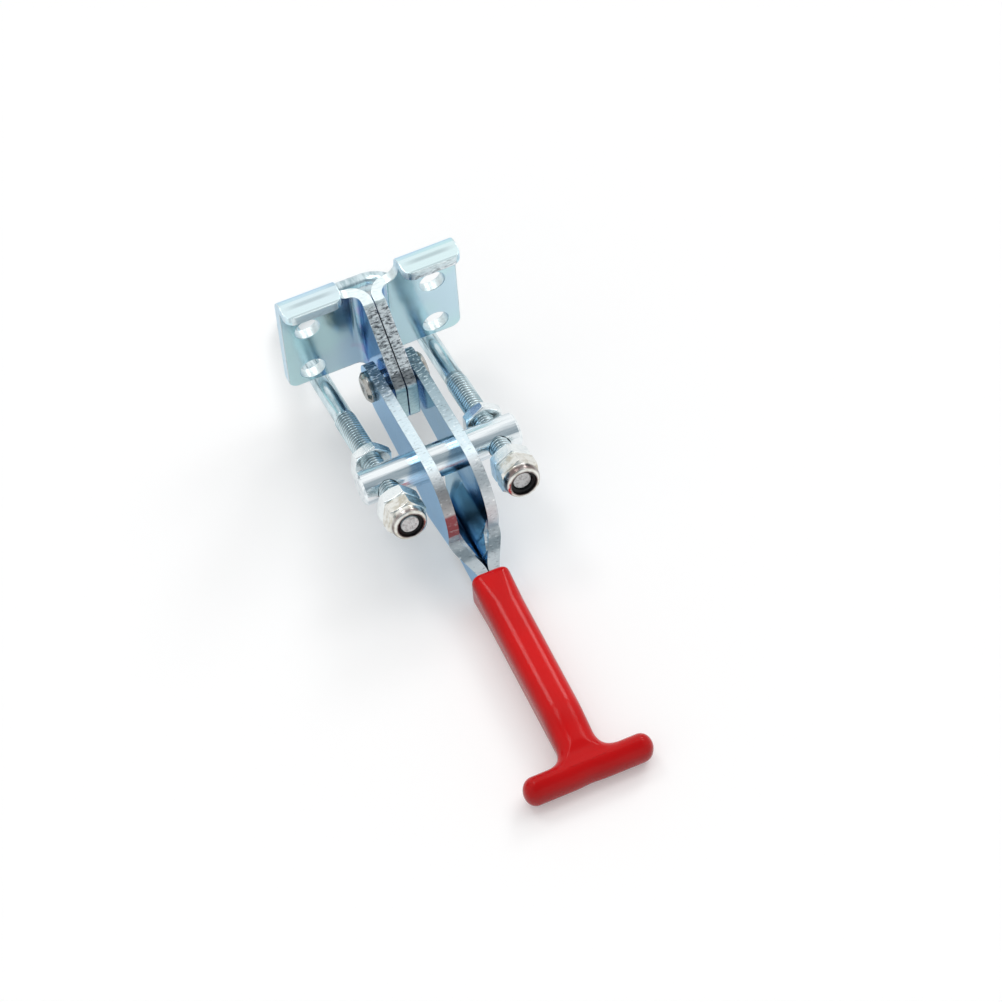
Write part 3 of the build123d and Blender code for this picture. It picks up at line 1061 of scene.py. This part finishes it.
@dataclass
class FoldedWebs:
    """The low part of each handle plate, which leans in to the middle. Millimetres.

    u runs forward from the pivot and v up from it, as in the frame's side view.
    """

    pivot: Span = (-16.5, -6.2)
    back: float = 25.0
    front: float = 55.0
    plate_inner: float = 3.97
    tang_inner: float = 0.12
    thickness: float = 2.88
    fold_v: Span = (-7.3, -4.2)
    seam_v: Span = (-15.8, -10.9)
    lap: float = 1.5
    straight: float = 0.35
    under_trunnion: Span = (34.5, -5.3)
    ledge: Span = (50.6, -6.2)
    ledge_fall: float = 0.372
    bottom: tuple[Span, ...] = (
        (25.0, -9.6),
        (31.0, -13.0),
        (34.5, -15.6),
        (38.0, -17.6),
        (42.0, -18.9),
        (55.0, -18.9),
    )
    columns: int = 56
    rows: int = 30

    def slanted(self, u: float, heights: Span) -> float:
        """The height of a straight line that runs from the piece's back to its front."""
        share = (u - self.back) / (self.front - self.back)
        return heights[0] + (heights[1] - heights[0]) * share

    def inner(self, u: float, v: float) -> float:
        """How far the inner face lies from the middle plane.

        Args:
            u: How far forward.
            v: How far up.

        Returns:
            The distance.
        """
        fold = self.slanted(u, self.fold_v)
        seam = self.slanted(u, self.seam_v)
        lean = min(1.0, max(0.0, (v - seam) / (fold + self.lap - seam)))
        lean = self.straight * lean + (1.0 - self.straight) * eased(lean)
        return self.tang_inner + (self.plate_inner - self.tang_inner) * lean

    def high_edge(self, u: float) -> float:
        """The height of the piece's hidden top edge, kept below the plate's ledge.

        Args:
            u: How far forward.

        Returns:
            The height.
        """
        top = self.slanted(u, self.fold_v) + 2 * self.lap
        if u < self.under_trunnion[0]:
            return min(top, self.under_trunnion[1])
        if u < self.ledge[0]:
            return top
        return self.ledge[1] - (u - self.ledge[0]) * self.ledge_fall

    def low_edge(self, u: float) -> float:
        """The height of the piece's low edge.

        Args:
            u: How far forward.

        Returns:
            The height.
        """
        for (u0, v0), (u1, v1) in zip(self.bottom, self.bottom[1:]):
            if u <= u1:
                return v0 + (v1 - v0) * (u - u0) / (u1 - u0)
        return self.bottom[-1][1]

    def grid(
        self, mesh: bmesh.types.BMesh, side: int, outwards: float
    ) -> list[list[bmesh.types.BMVert]]:
        """The corners of one face of the sheet.

        Args:
            mesh: Where they are made.
            side: -1 for the left plate's sheet, 1 for the right plate's.
            outwards: How far this face lies outside the inner one.

        Returns:
            A column of corners for each step forward, from the low edge up.
        """
        columns = []
        for i in range(self.columns + 1):
            u = self.back + (self.front - self.back) * i / self.columns
            low, top = self.low_edge(u), self.high_edge(u)
            column = []
            for j in range(self.rows + 1):
                v = low + (top - low) * j / self.rows
                x = side * (self.inner(u, v) + outwards)
                point = Vector((x, self.pivot[0] - u, self.pivot[1] + v))
                column.append(mesh.verts.new(point * MM))
            columns.append(column)
        return columns

    def build_side(self, side: int, name: str, material: bpy.types.Material) -> bpy.types.Object:
        """One closed, leaning sheet.

        Args:
            side: -1 for the left plate's, 1 for the right plate's.
            name: The piece's name.
            material: Its finish.

        Returns:
            The piece.
        """
        mesh = bmesh.new()
        inner, outer = (self.grid(mesh, side, outwards) for outwards in (0.0, self.thickness))
        for grid in (inner, outer):
            for i in range(self.columns):
                for j in range(self.rows):
                    quad = (grid[i][j], grid[i + 1][j], grid[i + 1][j + 1], grid[i][j + 1])
                    mesh.faces.new(quad).smooth = True
        rim = [(i, 0) for i in range(self.columns)]
        rim += [(self.columns, j) for j in range(self.rows)]
        rim += [(i, self.rows) for i in range(self.columns, 0, -1)]
        rim += [(0, j) for j in range(self.rows, 0, -1)]
        for (i, j), (k, m) in zip(rim, rim[1:] + rim[:1]):
            mesh.faces.new((inner[i][j], inner[k][m], outer[k][m], outer[i][j]))
            for grid in (inner, outer):
                mesh.edges.get((grid[i][j], grid[k][m])).smooth = False
        bmesh.ops.recalc_face_normals(mesh, faces=mesh.faces)
        web = new_object(name, mesh)
        dress(web, material)
        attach(web, "handle")
        return web

    def build(self) -> list[bpy.types.Object]:
        """Build the web of each plate.

        Returns:
            The two pieces.
        """
        finish = ZincPlate("zinc_webs", EdgePlan.HANDLE_PLATE).make()
        return [self.build_side(-1, "web_left", finish), self.build_side(1, "web_right", finish)]


# ---------------------------------------------------------------- dipped grip


@dataclass
class DippedGrip:
    """The red vinyl grip, soft all round, in the space of the frame's solid. Millimetres."""

    box: tuple[Vector, Vector]
    body: str = "handle"
    stem_half_width: float = 5.2
    bar_thickness: float = 6.6
    bar_height: float = 9.8
    plan_round: float = 3.2
    mouth_edge_round: float = 3.0
    edge_round: float = 5.2
    squareness: float = 2.5
    boxy_reach: float = 10.0
    inside_blend: float = 5.5
    stem_end_in_bar: float = 1.0
    drop_length: float = 14.0
    valley_depth: float = 0.3
    valley_spread: float = 2.6
    mouth_round: float = 1.4
    voxel: float = 0.5
    relax: float = 0.5
    relax_rounds: int = 4
    project_steps: int = 4
    probe: float = 0.02
    least_slope: float = 0.5

    def __post_init__(self) -> None:
        """Take the outer sizes from the frame's solid."""
        low, high = (corner / MM for corner in self.box)
        self.half_length = high.x
        self.front = low.y
        self.mouth = high.y
        self.ground = low.z
        self.stem_height = high.z - low.z
        self.bar_back = self.front + self.bar_thickness

    def distance(self, points: np.ndarray) -> np.ndarray:
        """How far points lie outside the grip's surface.

        Args:
            points: One row of x, y and z for each point, in millimetres.

        Returns:
            The distances, below zero inside.
        """
        x, y, z = points.T
        middle = self.front + self.bar_thickness / 2
        forward = np.clip((middle - y) / (self.bar_thickness / 2 - self.valley_depth), 0.0, 1.0)
        valley = self.valley_depth * np.exp(-((x / self.valley_spread) ** 2)) * forward
        bar_x = np.abs(x) - self.half_length + self.plan_round
        bar_y = np.abs(y - valley - middle) - self.bar_thickness / 2 + self.plan_round
        bar = past_corner(bar_x, bar_y) - self.plan_round
        stem_x = np.abs(x) - self.stem_half_width
        stem_y = self.bar_back - self.stem_end_in_bar - y
        plan = joined(bar, past_corner(stem_x, stem_y), self.inside_blend)
        rise = eased(np.clip((y - self.bar_back) / self.drop_length, 0.0, 1.0))
        half_height = (self.bar_height + (self.stem_height - self.bar_height) * rise) / 2
        upright = np.abs(z - self.ground - half_height) - half_height
        boxy = np.clip((y - self.mouth) / self.boxy_reach + 1.0, 0.0, 1.0)
        round_off = self.edge_round + (self.mouth_edge_round - self.edge_round) * boxy
        over_plan = plan + round_off
        over_height = upright + round_off
        power = self.squareness
        corner = np.maximum(over_plan, 0) ** power + np.maximum(over_height, 0) ** power
        inside = np.minimum(np.maximum(over_plan, over_height), 0)
        solid = corner ** (1 / power) + inside - round_off
        return -joined(self.mouth - y, -solid, self.mouth_round)

    def project(self, points: np.ndarray) -> np.ndarray:
        """Move points onto the surface, down the slope of the distance.

        Args:
            points: One row of x, y and z for each point, in millimetres.

        Returns:
            The moved points.
        """
        for _ in range(self.project_steps):
            here = self.distance(points)
            slope = np.empty_like(points)
            for axis in range(3):
                step = np.zeros(3)
                step[axis] = self.probe
                ahead = self.distance(points + step)
                behind = self.distance(points - step)
                slope[:, axis] = (ahead - behind) / (2 * self.probe)
            steep = np.maximum((slope**2).sum(axis=1), self.least_slope**2)
            points = points - slope * (here / steep)[:, None]
        return points

    def blank(self) -> bpy.types.Object:
        """Two joined blocks, remeshed into small even squares.

        Returns:
            The remeshed object.
        """
        mesh = bmesh.new()
        bar = (
            Vector((-self.half_length, self.front, 0)),
            Vector((self.half_length, self.bar_back, self.bar_height)),
        )
        stem = (
            Vector((-self.stem_half_width, self.bar_back - self.bar_thickness / 2, 0)),
            Vector((self.stem_half_width, self.mouth, self.stem_height)),
        )
        for low, high in (bar, stem):
            made = bmesh.ops.create_cube(mesh, size=1.0)["verts"]
            bmesh.ops.scale(mesh, vec=(high - low) * MM, verts=made)
            middle = (low + high) / 2 + Vector((0, 0, self.ground))
            bmesh.ops.translate(mesh, vec=middle * MM, verts=made)
        blank = new_object("grip_blank", mesh)
        remesh = blank.modifiers.new("even", "REMESH")
        remesh.mode = "VOXEL"
        remesh.voxel_size = self.voxel * MM
        return blank

    def build(self) -> list[bpy.types.Object]:
        """Shape the grip's surface and dress it.

        Returns:
            The grip, in a list.
        """
        blank = self.blank()
        graph = bpy.context.evaluated_depsgraph_get()
        mesh = bmesh.new()
        mesh.from_mesh(blank.evaluated_get(graph).to_mesh())
        bpy.data.objects.remove(blank)
        for _ in range(self.relax_rounds):
            bmesh.ops.smooth_vert(
                mesh,
                verts=mesh.verts,
                factor=self.relax,
                use_axis_x=True,
                use_axis_y=True,
                use_axis_z=True,
            )
            points = self.project(np.array([vert.co / MM for vert in mesh.verts]))
            points[:, 0] = np.clip(points[:, 0], -self.half_length, self.half_length)
            points[:, 1] = np.maximum(points[:, 1], self.front)
            points[:, 2] = np.maximum(points[:, 2], self.ground)
            for vert, point in zip(mesh.verts, points):
                vert.co = Vector(point) * MM
        for face in mesh.faces:
            face.smooth = True
        grip = new_object("dipped_grip", mesh)
        dress(grip, Vinyl().make())
        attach(grip, self.body)
        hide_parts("grip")
        return [grip]


# ---------------------------------------------------------------- threaded U-bolt


@dataclass
class ThreadedLoop:
    """The U-bolt with its M6 threads, around the frame solid's centre line. Millimetres."""

    body: str = "u_bolt"
    slope: float = math.radians(14.35)
    trunnion: Vector = field(default_factory=lambda: Vector(TRUNNION))
    half_pitch: float = HALF_PITCH
    end_ahead: float = 19.0
    loop_behind: float = 77.4
    corner_radius: float = 7.0
    thread_lengths: Span = (46.0, 44.0)
    runout: float = 1.2
    shank_radius: float = 2.65
    crest_radius: float = 2.95
    bright_crest: float = 0.05
    root_radius: float = 2.42
    pitch: float = 1.0
    flat_share: float = 0.1
    end_chamfer: float = 0.6
    sides: int = 40
    rings_per_pitch: int = 10
    corner_rings: int = 18
    plain_rings: int = 6

    def radius(self, along: float, turn: float, length: float) -> float:
        """How far the surface lies from the centre line.

        Args:
            along: The distance from the leg's end.
            turn: The angle round the leg, as a share of a full turn of a right-hand thread.
            length: How far this leg is threaded.

        Returns:
            The radius.
        """
        if along > length + self.runout:
            return self.shank_radius
        phase = (along / self.pitch - turn) % 1.0
        rise = (abs(phase - 0.5) * 2.0 - self.flat_share) / (1.0 - 2.0 * self.flat_share)
        ramp = min(1.0, max(0.0, rise))
        crest = self.crest_radius - max(0.0, self.end_chamfer - along)
        thread = min(self.root_radius + (self.crest_radius - self.root_radius) * ramp, crest)
        fade = min(1.0, max(0.0, (along - length) / self.runout))
        return thread * (1.0 - fade) + self.shank_radius * fade

    def leg(self, side: int) -> list[tuple[Vector, Vector, float]]:
        """Rings of one leg, from its end to where its corner starts.

        Args:
            side: -1 for the left leg, 1 for the right one.

        Returns:
            For each ring: its centre, the direction outwards, and the distance from the end.
        """
        whole = self.end_ahead + self.loop_behind - self.corner_radius
        fine = round((max(self.thread_lengths) + self.runout) * self.rings_per_pitch / self.pitch)
        along = [i * self.pitch / self.rings_per_pitch for i in range(fine + 1)]
        last, rest = along[-1], whole - along[-1]
        along += [last + rest * i / self.plain_rings for i in range(1, self.plain_rings)]
        outwards = Vector((side, 0.0))
        return [(Vector((side * self.half_pitch, s - self.end_ahead)), outwards, s) for s in along]

    def corner(self, side: int) -> list[tuple[Vector, Vector, float]]:
        """Rings of one corner, from its leg to the cross run.

        Args:
            side: -1 for the left corner, 1 for the right one.

        Returns:
            The same rows as a leg's, at no distance that is threaded.
        """
        hub_side = side * (self.half_pitch - self.corner_radius)
        hub = Vector((hub_side, self.loop_behind - self.corner_radius))
        rings = []
        for i in range(self.corner_rings + 1):
            angle = math.pi / 2 * i / self.corner_rings
            outwards = Vector((side * math.cos(angle), math.sin(angle)))
            rings.append((hub + outwards * self.corner_radius, outwards, math.inf))
        return rings

    def build(self) -> list[bpy.types.Object]:
        """Build the threaded rod as one closed tube.

        Returns:
            The rod, in a list.
        """
        back = Vector((0.0, math.cos(self.slope), -math.sin(self.slope)))
        above = Vector((0.0, math.sin(self.slope), math.cos(self.slope)))
        across = Vector((1.0, 0.0, 0.0))
        left_run = [(row, -1) for row in self.leg(-1) + self.corner(-1)]
        right_run = [(row, 1) for row in self.leg(1) + self.corner(1)]
        mesh = bmesh.new()
        rings = []
        for (centre, outwards, along), side in left_run + right_run[::-1]:
            length = self.thread_lengths[0 if side < 0 else 1]
            middle = self.trunnion + across * centre.x + back * centre.y
            aside = across * outwards.x + back * outwards.y
            ring = []
            for i in range(self.sides):
                turn = i / self.sides
                angle = math.tau * turn
                reach = self.radius(along, -side * turn, length)
                point = middle + (aside * math.cos(angle) + above * math.sin(angle)) * reach
                ring.append(mesh.verts.new(point * MM))
            rings.append(ring)
        for first, second in zip(rings, rings[1:]):
            for i in range(self.sides):
                j = (i + 1) % self.sides
                mesh.faces.new((first[i], first[j], second[j], second[i])).smooth = True
        for ends in (list(reversed(rings[0])), rings[-1]):
            mesh.faces.new(ends).material_index = 1
        bmesh.ops.recalc_face_normals(mesh, faces=mesh.faces)
        rod = new_object("threaded_u_bolt", mesh)
        plated = ThreadZinc(
            "zinc_rod",
            self.trunnion,
            back,
            self.half_pitch,
            self.root_radius,
            self.crest_radius - self.bright_crest,
            max(self.thread_lengths) - self.end_ahead,
        )
        dress(rod, plated.make(), CutEnd().make())
        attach(rod, self.body)
        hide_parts("u_bolt")
        return [rod]


# ---------------------------------------------------------------- studio


@dataclass(frozen=True)
class Lamp:
    """One soft lamp, far away. One that isn't mirrored lights matt surfaces alone."""

    name: str
    from_direction: Triple
    strength: float
    softness: float
    mirrored: bool = True


@dataclass
class Studio:
    """White floor, light tent, soft lamps and the camera."""

    ground: float
    floor_size: float = 4.0
    floor_white: float = 0.80
    floor_lift: float = 0.22
    floor_roughness: float = 0.9
    ambient: float = 0.42
    open_side: Triple = (-0.19, -0.53, 0.825)
    open_reach: Span = (0.66, 0.96)
    card_side: Span = (0.56, 0.80)
    card_edge: float = 0.16
    card_behind: Span = (0.35, 0.55)
    card_height: Span = (0.42, 0.22)
    dark: Colour = rgb(0.30, 0.36, 0.40)
    card: Colour = rgb(0.20, 0.26, 0.29)
    sensor: float = 36.0
    lens: float = 143.25
    camera_at: Triple = (-0.18625, -0.60133, 0.82882)
    look_at: Triple = (0.01629, -0.04469, -0.03650)
    camera_roll: float = -4.771
    clip_start: float = 0.01
    lamps: tuple[Lamp, ...] = (
        Lamp("key", (0.45, 0.35, 1.0), 0.75, 50.0, mirrored=False),
        Lamp("fill", (-0.7, -0.4, 0.9), 0.45, 70.0, mirrored=False),
        Lamp("strip_left", (-0.20, 0.53, 0.82), 0.31, 16.0),
        Lamp("strip_right", (0.60, 0.53, 0.60), 0.31, 16.0),
        Lamp("strip_left_near", (-0.20, 0.15, 0.97), 0.19, 18.0),
        Lamp("strip_right_near", (0.60, 0.15, 0.79), 0.19, 18.0),
    )

    def build(self) -> None:
        """Make everything that isn't the object."""
        self.make_floor()
        self.make_world()
        for lamp in self.lamps:
            self.make_lamp(lamp)
        self.make_camera()

    def make_floor(self) -> None:
        """A white floor that keeps the object's shadow."""
        mesh = bmesh.new()
        bmesh.ops.create_grid(mesh, x_segments=1, y_segments=1, size=self.floor_size / 2)
        floor = new_object("floor", mesh)
        floor.location.z = self.ground
        material, sheet = material_sheet("floor_white")
        lift = sheet.mix(sheet.background_seen(), neutral(0.0), neutral(self.floor_lift))
        sheet.surface(
            Base_Color=neutral(self.floor_white),
            Roughness=self.floor_roughness,
            Specular_IOR_Level=0.0,
            Emission_Color=lift,
            Emission_Strength=1.0,
        )
        dress(floor, material)
        floor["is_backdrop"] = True

    def make_world(self) -> None:
        """A light tent: white, darker where it is open, with two dark cards at its back."""
        world = bpy.data.worlds.new("surroundings")
        bpy.context.scene.world = world
        world.use_nodes = True
        sheet = Sheet(world.node_tree, "ShaderNodeOutputWorld")
        toward = sheet.read("ShaderNodeTexCoord", "Generated")
        x, y, z = sheet.split(toward)
        opening = sheet.vector_size("DOT_PRODUCT", toward, self.open_side).ramp(*self.open_reach)
        card = abs(x).band(*self.card_side, edge=self.card_edge)
        cards = card & y.ramp(*self.card_behind) & z.ramp(*self.card_height)
        tent = sheet.cover(neutral(1.0), (opening, self.dark), (cards, self.card))
        colour = sheet.mix(sheet.background_seen(), neutral(self.ambient), tent)
        background = sheet.node("ShaderNodeBackground", {}, {"Color": colour, "Strength": 1.0})
        sheet.tree.links.new(background.outputs["Background"], sheet.output.inputs["Surface"])

    def make_lamp(self, lamp: Lamp) -> None:
        """A sun lamp with a wide, soft disc.

        Args:
            lamp: Its direction, strength and softness.
        """
        data = bpy.data.lights.new(lamp.name, "SUN")
        data.energy = lamp.strength
        data.angle = math.radians(lamp.softness)
        light = bpy.data.objects.new(lamp.name, data)
        light.rotation_euler = Vector(lamp.from_direction).to_track_quat("Z", "Y").to_euler()
        light.visible_glossy = lamp.mirrored
        bpy.context.scene.collection.objects.link(light)

    def make_camera(self) -> None:
        """The camera, looking down over the handle."""
        data = bpy.data.cameras.new("camera")
        data.sensor_width = self.sensor
        data.lens = self.lens
        data.clip_start = self.clip_start
        camera = bpy.data.objects.new("camera", data)
        aim = (Vector(self.look_at) - Vector(self.camera_at)).to_track_quat("-Z", "Y").to_matrix()
        roll = Matrix.Rotation(math.radians(self.camera_roll), 3, "Z")
        camera.matrix_world = Matrix.Translation(Vector(self.camera_at)) @ (aim @ roll).to_4x4()
        bpy.context.scene.collection.objects.link(camera)
        bpy.context.scene.camera = camera


# ---------------------------------------------------------------- main


def main() -> None:
    """Load the frame, dress every piece and set up the studio."""
    logging.basicConfig(level=logging.INFO, format="%(message)s")
    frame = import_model()
    cad_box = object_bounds()
    nodes = frame["nodes"]
    grip_low, grip_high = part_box("grip")
    groups = (
        PressedPlates(nodes),
        FoldedWebs(),
        TurnedPieces(nodes),
        DippedGrip((Vector(grip_low), Vector(grip_high))),
        ThreadedLoop(),
    )
    for group in groups:
        for piece in group.build():
            log.info("%s: %d faces", piece.name, len(piece.data.polygons))
    Studio(ground=cad_box[0].z).build()
    bpy.context.scene.view_settings.view_transform = "Standard"
    bpy.context.view_layer.update()


if __name__ == "__main__":
    main()
